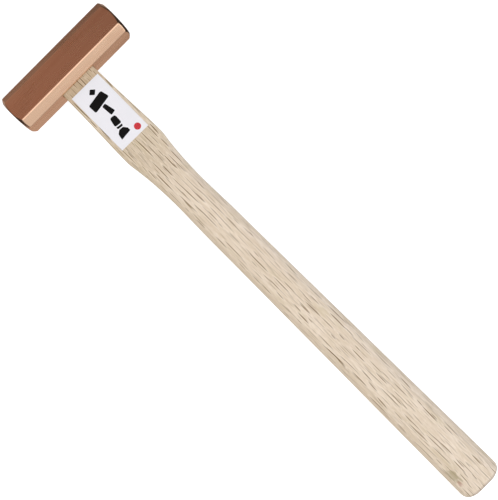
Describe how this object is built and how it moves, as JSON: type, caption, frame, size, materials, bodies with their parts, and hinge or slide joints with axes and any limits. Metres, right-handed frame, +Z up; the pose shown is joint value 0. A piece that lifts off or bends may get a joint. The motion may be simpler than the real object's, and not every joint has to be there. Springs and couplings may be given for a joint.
{
  "type": "copper carving mallet",
  "caption": "Small mallet with an octagonal copper head wedged on a slim oak handle, for striking carving tools without marring them.",
  "frame": {"origin": "middle of the head's lower side flat", "axes": "+X along the handle from the head to the butt, +Y along the head, +Z up through the head's side flats, away from the surface the mallet lies on"},
  "size_m": [0.307, 0.0706, 0.02],
  "materials": {
    "copper": "ground copper, dull, with bright corners",
    "oak": "sanded bare oak with dark ray flecks",
    "steel": "cut flush, dull",
    "paper": null
  },
  "bodies": {
    "root": {"head": "copper", "handle": "oak", "wedge": "steel", "label": "paper"}
  },
  "joints": []
}
